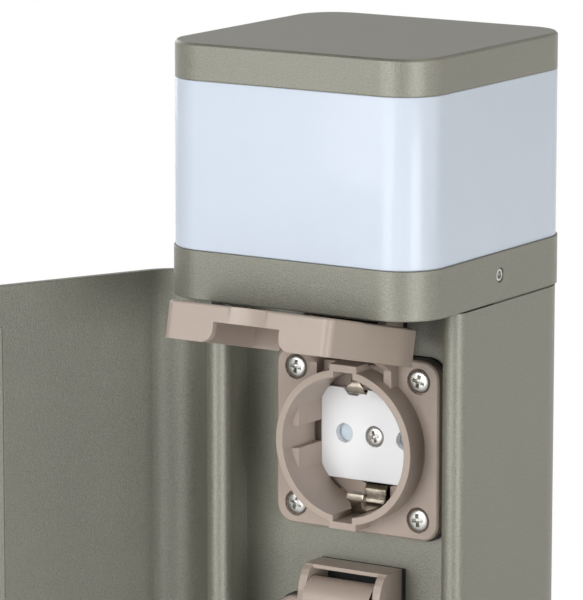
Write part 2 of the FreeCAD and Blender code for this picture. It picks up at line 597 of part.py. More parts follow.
for name, shape in door_parts.items():
    shape.rotate(Vec(HINGE_X, HINGE_Y, 0), Z, -DOOR_OPEN)
    save(shape, name)


# One socket: everything is built about its centre and then moved up to its height
def key_block(half, out, inner, y0, y1):
    up = box(-half, half, y0, y1, inner, out)
    down = box(-half, half, y0, y1, -out, -inner)
    return up.fuse(down)


def socket_housing():
    body = slab(-FLANGE_HALF, FLANGE_HALF, -FLANGE_TALL, FLANGE_TALL, FLANGE_Y, FLANGE_BACK, FLANGE_R)
    face = [e for e in body.Edges if abs(e.BoundBox.YMax - FLANGE_Y) < 0.01]
    body = body.makeChamfer(0.5, face)
    body = body.fuse(cone(0, RIM_Y, 0, RING_R, RING_R + 0.2, RING_PROUD + 0.5, Y))
    body = body.fuse(key_block(KEY_HALF, KEY_OUT, 16, RIM_Y, FLANGE_Y + 0.5))
    body = body.fuse(rod(0, FLANGE_BACK - 0.5, 0, BODY_R, BODY_BACK - FLANGE_BACK + 0.5, Y))
    # hood: two cheeks with a flat plate between their tops
    cheek = [(FLANGE_BACK, HOOD_TOP), (FLANGE_BACK - HOOD_DEPTH, HOOD_TOP)]
    for angle in range(75, -30, -15):
        a = math.radians(angle)
        lift = (HOOD_TOP - LID_AXIS_Z) if angle > 0 else 7.0
        cheek.append((LID_AXIS_Y - CHEEK_REACH * math.cos(a), LID_AXIS_Z + lift * math.sin(a)))
    cheek = cheek + [(CHEEK_FOOT_Y, LID_AXIS_Z - 5), (CHEEK_FOOT_Y, 16.0), (FLANGE_BACK, 16.0)]
    for x0 in (-HOOD_HALF, HOOD_HALF - CHEEK):
        body = body.fuse(outline_yz(cheek, x0, x0 + CHEEK))
    plate_y = FLANGE_BACK - HOOD_DEPTH
    body = body.fuse(box(-HOOD_HALF, HOOD_HALF, plate_y, FLANGE_BACK, HOOD_TOP - HOOD_PLATE, HOOD_TOP))
    body = body.cut(rod(-HOOD_HALF - 1, LID_AXIS_Y, LID_AXIS_Z, LID_PIN_R + 0.02, 2 * HOOD_HALF + 2, X))
    # relief in the flange for the lid's curl, which swings back between the cheeks
    relief_half = HOOD_HALF - CHEEK
    body = body.cut(box(-relief_half, relief_half, FLANGE_Y - 1, FLANGE_BACK, RELIEF_Z, FLANGE_TALL + 1))
    # well, with its key slots open to the front and two guide lugs on each side wall
    body = body.cut(rod(0, RIM_Y - 1, 0, RING_BORE, BODY_BACK - RIM_Y, Y))
    body = body.cut(rod(0, INSERT_Y, 0, BODY_BORE, BODY_BACK, Y))
    body = body.cut(key_block(KEY_SLOT_HALF, KEY_SLOT_OUT, 14, RIM_Y - 1, INSERT_Y))
    shell = rod(0, RIM_Y, 0, RING_BORE + 0.6, BODY_BACK - RIM_Y, Y)
    for sx in (-1, 1):
        for sz in (-1, 1):
            block = [(sx * (RING_BORE + 1), LUG_Y - 1.3), (sx * (LUG_X + 0.2), LUG_Y), (sx * LUG_X, INSERT_Y),
                     (sx * (RING_BORE + 1), INSERT_Y)]
            z0, z1 = sorted((sz * LUG_LOW, sz * LUG_HIGH))
            lug = outline_xy(block, z0, z1).common(shell)
            body = body.fuse(lug)
            x, z = sx * SCREW_X, sz * SCREW_Z
            body = body.cut(bar(x, FLANGE_Y - 0.1, z, BIG_HEAD_R + RUN, 1.3, Y, ROUND_SIDES))
            body = body.cut(bar(x, FLANGE_Y - 1, z, SHANK_R + RUN, 6, Y))
    return body


def flange_gasket():
    pad_x = FLANGE_HALF + 0.5
    pad_z = FLANGE_TALL + 0.5
    pad = slab(-pad_x, pad_x, -pad_z, pad_z, FLANGE_BACK, PANEL_Y, FLANGE_R + 0.5)
    # a narrow tongue of it lies under the hood
    pad = pad.fuse(box(-HOOD_HALF - 0.3, HOOD_HALF + 0.3, FLANGE_BACK, PANEL_Y, 15, HOOD_TOP - 0.2))
    pad = pad.cut(rod(0, FLANGE_BACK - 1, 0, BODY_R + GAP, 4, Y))
    for sx in (-1, 1):
        for sz in (-1, 1):
            pad = pad.cut(bar(sx * SCREW_X, FLANGE_BACK - 1, sz * SCREW_Z, SHANK_R + RUN, 4, Y))
    return pad


PLATE_THICK = 2.0
PLATE_TALL = 12.5
CENTRE_HEAD_R = 2.9
STUB_R = 2.4
SLEEVE_R = 3.4
STRIP = 0.8
CAVITY = 2.4
CARRIER_BACK = BODY_BACK - 4.5


def insert_plate():
    # white front plate: straight sides, clipped corners, two notches in its top edge
    side = RING_BORE - 2.2
    clip_x = side - 2
    clip_z = PLATE_TALL - 2.6
    right = [(side, clip_z), (clip_x, PLATE_TALL), (10.0, PLATE_TALL), (8.2, PLATE_TALL - 1.9),
             (5.3, PLATE_TALL - 1.9), (4.3, PLATE_TALL)]
    left = [(-x, z) for x, z in reversed(right)]
    low = [(-side, -clip_z), (-clip_x, -PLATE_TALL), (clip_x, -PLATE_TALL), (side, -clip_z)]
    plate = outline_xz(right + left + low, INSERT_Y, INSERT_Y + PLATE_THICK)
    for sx in (-1, 1):
        plate = plate.cut(rod(sx * PIN_AT, INSERT_Y - 1, 0, PIN_R, 6, Y))
    plate = plate.cut(bar(0, INSERT_Y, 0, CENTRE_HEAD_R + RUN, 1.2, Y, ROUND_SIDES))
    return plate.cut(bar(0, INSERT_Y, 0, SMALL_SHANK_R + RUN, 6, Y))


def contact_carrier():
    # moulded body behind the plate: it holds the sleeves and leaves a flat room for the shutter
    front = INSERT_Y + PLATE_THICK
    carrier_r = BODY_BORE - 0.2
    body = bar(0, front, 0, carrier_r, CARRIER_BACK - front, Y, HIDDEN_SIDES)
    rim = bar(0, INSERT_Y, 0, carrier_r, PLATE_THICK, Y, HIDDEN_SIDES)
    rim = rim.cut(bar(0, INSERT_Y - 1, 0, RING_BORE + 0.2, 4, Y, HIDDEN_SIDES))
    body = body.fuse(rim.common(box(-11, 11, 0, 10, -BODY_R, BODY_R)))
    body = body.cut(bar(0, front - 1, 0, 14.2, CAVITY + 1, Y, HIDDEN_SIDES))
    body = body.fuse(rod(0, front, 0, STUB_R, CAVITY + 0.5, Y))
    body = body.cut(bar(0, front - 1, 0, SMALL_SHANK_R + RUN, 16, Y))
    for sx in (-1, 1):
        body = body.cut(bar(sx * PIN_AT, front, 0, SLEEVE_R + RUN, 18, Y, ROUND_SIDES))
    for sz in (-1, 1):
        z0, z1 = sorted((sz * 12.4, sz * 19.7))
        body = body.cut(box(-3.8, 3.8, INSERT_Y - 1, CARRIER_BACK + 1, z0, z1))
    return body


def shutter():
    # two round blades on a bar; the bar's hub turns on the carrier's stub
    y0 = INSERT_Y + PLATE_THICK + 0.3
    blade = box(-PIN_AT, PIN_AT, y0, y0 + 1.8, -2.4, 2.4)
    blade = blade.fuse(rod(0, y0, 0, 4.2, 1.8, Y))
    for sx in (-1, 1):
        blade = blade.fuse(bar(sx * PIN_AT, y0, 0, 3.6, 1.8, Y, ROUND_SIDES))
    return blade.cut(rod(0, y0 - 1, 0, STUB_R + RUN, 4, Y))


def pin_sleeves():
    sleeves = []
    for sx in (-1, 1):
        sleeve = bar(sx * PIN_AT, INSERT_Y + PLATE_THICK + CAVITY + 0.4, 0, SLEEVE_R, 15, Y, ROUND_SIDES)
        sleeves.append(sleeve.cut(bar(sx * PIN_AT, INSERT_Y, 0, PIN_R - 0.2, 21, Y, ROUND_SIDES)))
    return group(sleeves)


def earth_strap():
    # bent strip: both arms pass under the plate's edge, bulge there and run forward in the key
    # slots, where each ends in a raised spring nose
    wide = 3.3
    slim = KEY_SLOT_HALF - 0.3
    back = CARRIER_BACK + STRIP
    bulge = [(back, 12.9), (7.0, 12.9), (5.6, 13.2), (4.6, 14.4), (4.4, 16.0), (4.8, 17.6), (4.5, 18.5),
             (4.5, 19.3), (5.2, 19.0), (5.7, 17.6), (5.2, 16.0), (5.3, 14.8), (6.0, 14.0), (7.0, 13.7),
             (back, 13.7)]
    nose = [(4.6, 18.5), (-4.0, 18.5), (-5.0, 17.6), (-5.4, 15.8), (-6.2, 15.9), (-5.7, 18.2), (-4.2, 19.3),
            (4.6, 19.3)]
    strap = box(-wide, wide, CARRIER_BACK, back, -13.7, 13.7)
    for sz in (-1, 1):
        strap = strap.fuse(outline_yz([(y, sz * z) for y, z in bulge], -wide, wide))
        strap = strap.fuse(outline_yz([(y, sz * z) for y, z in nose], -slim, slim))
    return strap


def centre_screw():
    return front_screw(0, INSERT_Y + 0.1, 0, CENTRE_HEAD_R, 1.1, SMALL_SHANK_R, 14)


def flange_screws():
    proud = 0.6
    screws = []
    for sx in (-1, 1):
        for sz in (-1, 1):
            screws.append(front_screw(sx * SCREW_X, FLANGE_Y - proud, sz * SCREW_Z, BIG_HEAD_R,
                                      proud + 1.2, SHANK_R, 10))
    return group(screws)


NOTCH_HALF = 10.0
NOTCH_DEEP = 5.5
NOTCH_R = 3.5
LID_WALL = 1.8
SCOOP_R = 19.4
SCOOP_DEEP = 1.0


def lid():
    # shallow cup over the whole socket, hung on a curled arm between the hood's cheeks
    face_y = LID_AXIS_Y - LID_FACE
    edge_y = face_y + LID_DEPTH
    top = LID_AXIS_Z - LID_START
    low = LID_AXIS_Z - LID_END
    cup = box(-LID_HALF, LID_HALF, face_y, edge_y, low, top)
    upright = [e for e in cup.Edges if abs(e.tangentAt(e.FirstParameter).y) > 0.99 and e.BoundBox.ZMax < 0]
    cup = cup.makeFillet(LID_CORNER, upright)
    rims = [e for e in cup.Edges if abs(e.BoundBox.YMax - face_y) < 0.01]
    cup = cup.makeChamfer(0.4, rims)
    # thumb scoop across the free wall, with the wall kept its thickness behind it
    cup = cup.cut(rod(0, face_y - 1, low + SCOOP_DEEP - SCOOP_R, SCOOP_R, LID_DEPTH + 2, Y))
    room_half = LID_HALF - LID_WALL
    room = box(-room_half, room_half, face_y + LID_SKIN, edge_y + 1, low + LID_WALL, top - 1.6)
    upright = [e for e in room.Edges if abs(e.tangentAt(e.FirstParameter).y) > 0.99 and e.BoundBox.ZMax < 0]
    room = room.makeFillet(LID_CORNER - LID_WALL, upright)
    room = room.cut(rod(0, face_y, low + SCOOP_DEEP - SCOOP_R, SCOOP_R + LID_WALL, LID_DEPTH + 2, Y))
    cup = cup.cut(room)
    # the cup's top wall stops each side of the socket's ring
    cup = cup.cut(box(-15.0, 15.0, face_y + LID_SKIN, edge_y + 1, top - 2, top + 1))
    # finger notch in the free edge
    notch = box(-NOTCH_HALF, NOTCH_HALF, edge_y - NOTCH_DEEP, edge_y + 1, low - 1, low + 4)
    for sx in (-1, 1):
        # the notch's mouth widens with a round on each side
        x0, x1 = sorted((sx * NOTCH_HALF, sx * (NOTCH_HALF + NOTCH_R)))
        flare = box(x0, x1, edge_y - NOTCH_R, edge_y + 1, low - 1, low + 4)
        flare = flare.cut(rod(sx * (NOTCH_HALF + NOTCH_R), edge_y - NOTCH_R, low - 2, NOTCH_R, 8, Z))
        notch = notch.fuse(flare)
    cup = cup.cut(notch)
    # arm: straight piece up to the axis, then curled back over the pin
    arm = box(-DRUM_HALF, DRUM_HALF, face_y, face_y + LID_SKIN, top - 1, LID_AXIS_Z)
    curl_y = face_y + CURL_R
    curl = rod(-DRUM_HALF, curl_y, LID_AXIS_Z, CURL_R, 2 * DRUM_HALF, X)
    bore = rod(-DRUM_HALF - 1, curl_y, LID_AXIS_Z, CURL_R - LID_SKIN, 2 * DRUM_HALF + 2, X)
    wedge = box(-DRUM_HALF, DRUM_HALF, face_y - 1, curl_y, LID_AXIS_Z, LID_AXIS_Z + CURL_R + 1)
    cup = cup.fuse(arm).fuse(curl.cut(bore).common(wedge))
    web = curl.common(wedge)
    for x0 in (-DRUM_HALF, DRUM_HALF - 2.0):
        ear = rod(x0, LID_AXIS_Y, LID_AXIS_Z, 3.0, 2.0, X)
        ear = ear.fuse(web.common(box(x0, x0 + 2.0, -30, 10, 0, 60)))
        cup = cup.fuse(ear)
    return cup.cut(rod(-HOOD_HALF - 1, LID_AXIS_Y, LID_AXIS_Z, LID_PIN_R + 0.07, 2 * HOOD_HALF + 2, X))


def lid_seal():
    # foam ring glued inside the lid, it meets the socket's rim when the lid is shut
    y0 = LID_AXIS_Y - LID_FACE + LID_SKIN
    room_half = LID_HALF - LID_WALL - 0.3
    outer_r = RING_R + 0.8
    thick = RIM_Y - 0.1 - y0
    ring = bar(0, y0, 0, outer_r, thick, Y, HIDDEN_SIDES)
    ring = ring.cut(bar(0, y0 - 1, 0, RING_BORE - 1.3, thick + 2, Y, HIDDEN_SIDES))
    room_top = LID_AXIS_Z - LID_START - 2
    room = box(-room_half, room_half, y0 - 1, RIM_Y, -outer_r - 1, room_top)
    return ring.common(room)


def lid_pin():
    length = 2 * HOOD_HALF - 0.6
    return rod(-length / 2, LID_AXIS_Y, LID_AXIS_Z, LID_PIN_R, length, X)


fixed_makers = {"socket_housing": socket_housing, "flange_gasket": flange_gasket,
                "insert_plate": insert_plate, "contact_carrier": contact_carrier, "shutter": shutter,
                "pin_sleeves": pin_sleeves, "earth_strap": earth_strap, "centre_screw": centre_screw,
                "flange_screws": flange_screws, "lid_pin": lid_pin}
lid_makers = {"lid": lid, "lid_seal": lid_seal}
for number, zc in enumerate(SOCKET_Z):
    lift = Vec(0, 0, zc)
    for name, maker in fixed_makers.items():
        shape = maker()
        shape.translate(lift)
        save(shape, name + "_" + str(number + 1))
    for name, maker in lid_makers.items():
        shape = maker()
        shape.rotate(Vec(0, LID_AXIS_Y, LID_AXIS_Z), X * -1, LID_OPEN[number])
        shape.translate(lift)
        save(shape, name + "_" + str(number + 1))
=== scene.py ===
import math

import bmesh
import bpy
from mathutils import Matrix, Vector


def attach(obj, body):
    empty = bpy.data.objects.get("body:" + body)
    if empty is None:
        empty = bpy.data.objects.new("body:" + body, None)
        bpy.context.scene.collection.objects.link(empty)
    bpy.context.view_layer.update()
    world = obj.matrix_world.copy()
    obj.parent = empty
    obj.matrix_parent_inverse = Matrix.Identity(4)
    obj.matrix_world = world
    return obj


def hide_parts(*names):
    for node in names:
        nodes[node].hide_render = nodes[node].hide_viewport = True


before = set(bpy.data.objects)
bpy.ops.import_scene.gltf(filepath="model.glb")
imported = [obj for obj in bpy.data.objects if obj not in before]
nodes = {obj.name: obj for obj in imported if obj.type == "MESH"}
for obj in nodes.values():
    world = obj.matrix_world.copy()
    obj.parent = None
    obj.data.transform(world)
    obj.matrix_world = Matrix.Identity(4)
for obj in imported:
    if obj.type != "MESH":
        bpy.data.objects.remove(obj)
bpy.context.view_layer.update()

# Camera: the photographer stood to the right of the sockets and a little above the head,
# far off with a long lens. Its place was solved from the edges of the head and the sockets.
CAMERA_AZIMUTH = math.radians(32.4)
CAMERA_ELEVATION = math.radians(10.5)
CAMERA_ROLL = math.radians(-0.05)
CAMERA_PLACE = (0.61549, -1.00763, 0.64762)
CAMERA_LENS = 278.2
camera_data = bpy.data.cameras.new("camera")
camera_data.lens = CAMERA_LENS
camera_data.sensor_fit = "HORIZONTAL"
camera_data.sensor_width = 36.0
camera = bpy.data.objects.new("camera", camera_data)
camera.location = CAMERA_PLACE
camera.rotation_euler = (math.pi / 2 - CAMERA_ELEVATION, CAMERA_ROLL, CAMERA_AZIMUTH)
bpy.context.scene.collection.objects.link(camera)
bpy.context.scene.camera = camera
bpy.context.scene.view_settings.view_transform = "Standard"


# Studio floor: a white paper sweep under the post. Near the post it is plain matt paper that
# takes the shadow, further out it is pure white to the eye and in reflections.
def new_material(name):
    material = bpy.data.materials.new(name)
    material.use_nodes = True
    tree = material.node_tree
    return material, tree, tree.nodes["Principled BSDF"]


def add(tree, kind, **values):
    node = tree.nodes.new(kind)
    for key, value in values.items():
        setattr(node, key, value)
    return node


def seen_directly(tree):
    # 1 for what the camera, a reflection or clear plastic sees, 0 for light that falls on things
    path = add(tree, "ShaderNodeLightPath")
    seen = path.outputs["Is Camera Ray"]
    for ray in ("Is Glossy Ray", "Is Transmission Ray"):
        either = add(tree, "ShaderNodeMath", operation="MAXIMUM")
        tree.links.new(seen, either.inputs[0])
        tree.links.new(path.outputs[ray], either.inputs[1])
        seen = either.outputs[0]
    return seen


FLOOR_REACH = 14.0
PAPER_REACH = 0.5
WHITE_REACH = 1.25
PAPER_COLOR = (0.86, 0.86, 0.86, 1)
PAPER_ROUGHNESS = 0.9
floor_shape = bmesh.new()
bmesh.ops.create_circle(floor_shape, cap_ends=True, segments=96, radius=FLOOR_REACH)
floor_data = bpy.data.meshes.new("floor")
floor_shape.to_mesh(floor_data)
floor_shape.free()
floor = bpy.data.objects.new("floor", floor_data)
bpy.context.scene.collection.objects.link(floor)
paper, tree, shader = new_material("floor_paper")
shader.inputs["Base Color"].default_value = PAPER_COLOR
shader.inputs["Roughness"].default_value = PAPER_ROUGHNESS
white = add(tree, "ShaderNodeEmission")
place = add(tree, "ShaderNodeTexCoord")
distance = add(tree, "ShaderNodeVectorMath", operation="LENGTH")
tree.links.new(place.outputs["Object"], distance.inputs[0])
fade = add(tree, "ShaderNodeMapRange", interpolation_type="SMOOTHSTEP")
fade.inputs["From Min"].default_value = PAPER_REACH
fade.inputs["From Max"].default_value = WHITE_REACH
tree.links.new(distance.outputs["Value"], fade.inputs["Value"])
amount = add(tree, "ShaderNodeMath", operation="MULTIPLY")
tree.links.new(fade.outputs[0], amount.inputs[0])
tree.links.new(seen_directly(tree), amount.inputs[1])
mix = add(tree, "ShaderNodeMixShader")
tree.links.new(amount.outputs[0], mix.inputs["Fac"])
tree.links.new(shader.outputs[0], mix.inputs[1])
tree.links.new(white.outputs[0], mix.inputs[2])
tree.links.new(mix.outputs[0], tree.nodes["Material Output"].inputs["Surface"])
floor_data.materials.append(paper)

# Studio room: its backdrop is white at eye level and falls to grey towards the ceiling, and it
# gives an even, slightly cool light of its own.
ROOM_LIGHT = (0.97, 0.98, 1.0, 1)
ROOM_STRENGTH = 0.09
WHITE_UP_TO = 0.15
GREY_FROM = 0.8
CEILING_GREY = 0.3
world = bpy.data.worlds.new("studio")
bpy.context.scene.world = world
world.use_nodes = True
tree = world.node_tree
ambient = tree.nodes["Background"]
ambient.inputs["Color"].default_value = ROOM_LIGHT
ambient.inputs["Strength"].default_value = ROOM_STRENGTH
place = add(tree, "ShaderNodeTexCoord")
height = add(tree, "ShaderNodeSeparateXYZ")
tree.links.new(place.outputs["Generated"], height.inputs[0])
ceiling = add(tree, "ShaderNodeMapRange")
ceiling.inputs["From Min"].default_value = WHITE_UP_TO
ceiling.inputs["From Max"].default_value = GREY_FROM
ceiling.inputs["To Min"].default_value = 1.0
ceiling.inputs["To Max"].default_value = CEILING_GREY
tree.links.new(height.outputs["Z"], ceiling.inputs["Value"])
backdrop = add(tree, "ShaderNodeBackground")
tree.links.new(ceiling.outputs[0], backdrop.inputs["Strength"])
mix = add(tree, "ShaderNodeMixShader")
tree.links.new(seen_directly(tree), mix.inputs["Fac"])
tree.links.new(ambient.outputs[0], mix.inputs[1])
tree.links.new(backdrop.outputs[0], mix.inputs[2])
tree.links.new(mix.outputs[0], tree.nodes["World Output"].inputs["Surface"])

# Studio lamps: a broad key a little left of the sockets, weaker warm ones far on the right and
# above, one behind, and two low cool strips that draw the upright streaks on the round corners.
# Azimuth 0 faces the sockets, and angles are in degrees.
LAMP_AIM = Vector((0, 0, 0.40))
LAMP_DISTANCE = 2.0
PLAIN = (1.0, 1.0, 1.0)
WARM = (1.0, 0.93, 0.84)
COOL = (0.95, 0.98, 1.0)


def soft_panel(name, azimuth, elevation, width, height, power, color=PLAIN):
    data = bpy.data.lights.new(name, "AREA")
    data.shape = "RECTANGLE"
    data.size = width
    data.size_y = height
    data.energy = power
    data.color = color
    lamp = bpy.data.objects.new(name, data)
    a = math.radians(azimuth)
    e = math.radians(elevation)
    away = Vector((math.sin(a) * math.cos(e), -math.cos(a) * math.cos(e), math.sin(e)))
    lamp.location = LAMP_AIM + away * LAMP_DISTANCE
    lamp.rotation_euler = away.to_track_quat("Z", "Y").to_euler()
    bpy.context.scene.collection.objects.link(lamp)


soft_panel("key_panel", azimuth=-11, elevation=16, width=1.4, height=1.0, power=23)
soft_panel("far_right_panel", azimuth=108, elevation=15, width=0.9, height=1.3, power=7, color=WARM)
soft_panel("ceiling_panel", azimuth=160, elevation=68, width=1.0, height=1.0, power=7.6, color=WARM)
soft_panel("back_left_panel", azimuth=-120, elevation=18, width=1.0, height=1.4, power=9)
soft_panel("left_strip", azimuth=-8, elevation=-5, width=0.8, height=0.5, power=6, color=COOL)
soft_panel("right_strip", azimuth=61, elevation=-1, width=0.85, height=0.8, power=17.5, color=COOL)


# Base plate: flat steel, cut and drilled for four anchors, with two small angles welded on it
# that hold the cover. It has the post's powder coat: matt olive grey with fine metal flecks.
MOTTLE_SCALE = 22.0
MOTTLE_SHARE = 0.25


def grain_group():
    # fine grain over a slow mottle; it mixes two colours and two roughnesses by the same pattern
    group = bpy.data.node_groups.new("fine_grain", "ShaderNodeTree")
    for name in ("Dark", "Light"):
        group.interface.new_socket(name, in_out="INPUT", socket_type="NodeSocketColor")
    for name in ("Scale", "Low Rough", "High Rough"):
        group.interface.new_socket(name, in_out="INPUT", socket_type="NodeSocketFloat")
    group.interface.new_socket("Color", in_out="OUTPUT", socket_type="NodeSocketColor")
    group.interface.new_socket("Roughness", in_out="OUTPUT", socket_type="NodeSocketFloat")
    group.interface.new_socket("Height", in_out="OUTPUT", socket_type="NodeSocketFloat")
    start = add(group, "NodeGroupInput")
    end = add(group, "NodeGroupOutput")
    place = add(group, "ShaderNodeTexCoord")
    fine = add(group, "ShaderNodeTexNoise")
    fine.inputs["Detail"].default_value = 3.0
    fine.inputs["Roughness"].default_value = 0.65
    group.links.new(place.outputs["Object"], fine.inputs["Vector"])
    group.links.new(start.outputs["Scale"], fine.inputs["Scale"])
    spread = add(group, "ShaderNodeMapRange")
    spread.inputs["From Min"].default_value = 0.3
    spread.inputs["From Max"].default_value = 0.7
    group.links.new(fine.outputs["Fac"], spread.inputs["Value"])
    cloud = add(group, "ShaderNodeTexNoise")
    cloud.inputs["Scale"].default_value = MOTTLE_SCALE
    group.links.new(place.outputs["Object"], cloud.inputs["Vector"])
    both = add(group, "ShaderNodeMix", data_type="FLOAT")
    both.inputs["Factor"].default_value = MOTTLE_SHARE
    group.links.new(spread.outputs[0], both.inputs["A"])
    group.links.new(cloud.outputs["Fac"], both.inputs["B"])
    color = add(group, "ShaderNodeMix", data_type="RGBA")
    group.links.new(both.outputs["Result"], color.inputs["Factor"])
    group.links.new(start.outputs["Dark"], color.inputs["A"])
    group.links.new(start.outputs["Light"], color.inputs["B"])
    rough = add(group, "ShaderNodeMapRange")
    group.links.new(both.outputs["Result"], rough.inputs["Value"])
    group.links.new(start.outputs["Low Rough"], rough.inputs["To Min"])
    group.links.new(start.outputs["High Rough"], rough.inputs["To Max"])
    group.links.new(color.outputs["Result"], end.inputs["Color"])
    group.links.new(rough.outputs[0], end.inputs["Roughness"])
    group.links.new(spread.outputs[0], end.inputs["Height"])
    return group


FINE_GRAIN = grain_group()
GRAIN_HEIGHT = 0.00006


def grained(name, dark, light, scale, rough, bump, metallic=0.0, coat=0.0, edge=0.0003):
    # a finish with fine grain, whose sharp edges are softened by the radius edge
    material, tree, shader = new_material(name)
    grain = add(tree, "ShaderNodeGroup", node_tree=FINE_GRAIN)
    grain.inputs["Dark"].default_value = (*dark, 1)
    grain.inputs["Light"].default_value = (*light, 1)
    grain.inputs["Scale"].default_value = scale
    grain.inputs["Low Rough"].default_value = rough[0]
    grain.inputs["High Rough"].default_value = rough[1]
    soft_edge = add(tree, "ShaderNodeBevel")
    soft_edge.samples = 6
    soft_edge.inputs["Radius"].default_value = edge
    relief = add(tree, "ShaderNodeBump")
    relief.inputs["Strength"].default_value = bump
    relief.inputs["Distance"].default_value = GRAIN_HEIGHT
    tree.links.new(soft_edge.outputs[0], relief.inputs["Normal"])
    tree.links.new(grain.outputs["Color"], shader.inputs["Base Color"])
    tree.links.new(grain.outputs["Roughness"], shader.inputs["Roughness"])
    tree.links.new(grain.outputs["Height"], relief.inputs["Height"])
    tree.links.new(relief.outputs["Normal"], shader.inputs["Normal"])
    shader.inputs["Metallic"].default_value = metallic
    shader.inputs["Coat Weight"].default_value = coat
    return material


def paint(material, *names):
    for name in names:
        data = nodes[name].data
        data.materials.clear()
        data.materials.append(material)


COAT = {"dark": (0.132, 0.129, 0.100), "light": (0.262, 0.258, 0.208), "scale": 2400,
        "rough": (0.30, 0.48), "bump": 0.6, "metallic": 0.3}
COAT_GLOSS = 0.95


def coated(name, edge):
    material = grained(name, edge=edge, **COAT)
    material.node_tree.nodes["Principled BSDF"].inputs["Specular IOR Level"].default_value = COAT_GLOSS
    return material


powder_coat = coated("powder_coat", edge=0.0006)
paint(powder_coat, "base_plate", "cover_brackets")

# Cable grommet: moulded bush of black rubber, pressed in the plate's hole. It keeps the feed
# cable off the steel edge, and it is dull and slightly dusty from the mould.
black_rubber = grained("black_rubber", dark=(0.010, 0.010, 0.010), light=(0.024, 0.024, 0.024),
                       scale=1500, rough=(0.6, 0.8), bump=0.2)
paint(black_rubber, "cable_grommet")

# Plain steel fasteners that the plate, the sill, the collar and the boards are fixed with.
# They are dull zinc plate, a little mottled.
zinc = grained("zinc_plate", dark=(0.40, 0.40, 0.385), light=(0.55, 0.55, 0.54), scale=500,
               rough=(0.42, 0.54), bump=0.06, metallic=1.0)
paint(zinc, "base_screws", "mounting_screws", "sill_screws", "collar_screws", "tie_screws", "tie_rods",
      "board_screws")

# Post profile: one aluminium extrusion, a chamber behind a flat panel with two fins that end
# in round beads. It is sawn to length and coated all over.
coated_profile = coated("coated_profile", edge=0.00008)
paint(coated_profile, "post_profile")

# Terminal chamber: a folded aluminium tray carries the lamp's driver and a grey terminal
# block with brass screws. The feed cable comes up to it through the base.
sheet_aluminium = grained("sheet_aluminium", dark=(0.66, 0.66, 0.67), light=(0.76, 0.76, 0.77),
                          scale=400, rough=(0.28, 0.42), bump=0.05, metallic=1.0)
grey_plastic = grained("grey_plastic", dark=(0.60, 0.60, 0.58), light=(0.66, 0.66, 0.64),
                       scale=900, rough=(0.4, 0.5), bump=0.1)
brass = grained("brass", dark=(0.60, 0.42, 0.14), light=(0.76, 0.58, 0.24), scale=500,
                rough=(0.22, 0.4), bump=0.05, metallic=1.0)
paint(sheet_aluminium, "mounting_plate")
paint(grey_plastic, "led_driver", "terminal_block")
paint(brass, "terminal_screws")

# Sill and lower cover: coated steel sheet. The sill closes the gap under the door and carries
# its lower pivot, a plain turned pin; the cover is bent round the front of the terminal chamber.
paint(powder_coat, "sill_plate", "lower_cover")
paint(zinc, "lower_pivot")

# Cover screws: four pan-head screws with a cross recess, turned and pressed from bright
# plated steel, set in shallow seats in the cover.
MM = 0.001
SMOOTH_ANGLE = math.radians(34)
CROWN = [(0, 1), (0.45, 0.98), (0.7, 0.92), (0.86, 0.8), (0.96, 0.58), (1, 0.3)]
RECESS_ARM = 0.17
RECESS_REACH = 0.62
RECESS_TAPER = 0.55


def new_piece(name, shape, material, body, *replaced, slot):
    # the shape is in millimetres; the piece stands for the CAD nodes named
    bmesh.ops.scale(shape, vec=(MM, MM, MM), verts=shape.verts)
    for face in shape.faces:
        face.smooth = True
    for edge in shape.edges:
        edge.smooth = edge.calc_face_angle(0.0) < SMOOTH_ANGLE
    data = bpy.data.meshes.new(name)
    shape.to_mesh(data)
    shape.free()
    data.materials.append(material)
    piece = bpy.data.objects.new(name, data)
    bpy.context.scene.collection.objects.link(piece)
    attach(piece, body)
    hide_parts(*replaced)
    return piece


def turned(profile, steps=40):
    # spins a line of (radius, y) points about the Y axis; y is negative towards the front
    shape = bmesh.new()
    points = [shape.verts.new((radius, y, 0)) for radius, y in profile]
    lines = [shape.edges.new(pair) for pair in zip(points, points[1:])]
    bmesh.ops.spin(shape, geom=points + lines, cent=(0, 0, 0), axis=(0, 1, 0), dvec=(0, 0, 0),
                   angle=2 * math.pi, steps=steps, use_merge=True)
    bmesh.ops.remove_doubles(shape, verts=shape.verts, dist=0.001)
    bmesh.ops.recalc_face_normals(shape, faces=shape.faces)
    return shape


def block(x, y, z, half_x, half_z, depth, floor_scale=1.0):
    # its front is at y, and its floor, deeper in, may be smaller
    shape = bmesh.new()
    bmesh.ops.create_cube(shape, size=1.0)
    bmesh.ops.scale(shape, vec=(2 * half_x, depth, 2 * half_z), verts=shape.verts)
    deep = [vert for vert in shape.verts if vert.co.y > 0]
    bmesh.ops.scale(shape, vec=(floor_scale, 1, floor_scale), verts=deep)
    bmesh.ops.translate(shape, vec=(x, y + depth / 2, z), verts=shape.verts)
    return shape


def cut_away(shape, *cutters):
    # subtracts each closed cutter from the shape in turn
    for cutter in cutters:
        solids = []
        for part in (shape, cutter):
            data = bpy.data.meshes.new("cut")
            part.to_mesh(data)
            part.free()
            solids.append(bpy.data.objects.new("cut", data))
            bpy.context.scene.collection.objects.link(solids[-1])
        difference = solids[0].modifiers.new("cut", "BOOLEAN")
        difference.operation = "DIFFERENCE"
        difference.solver = "EXACT"
        difference.object = solids[1]
        result = solids[0].evaluated_get(bpy.context.evaluated_depsgraph_get()).to_mesh()
        shape = bmesh.new()
        shape.from_mesh(result)
        for solid in solids:
            bpy.data.meshes.remove(solid.data)
    return shape


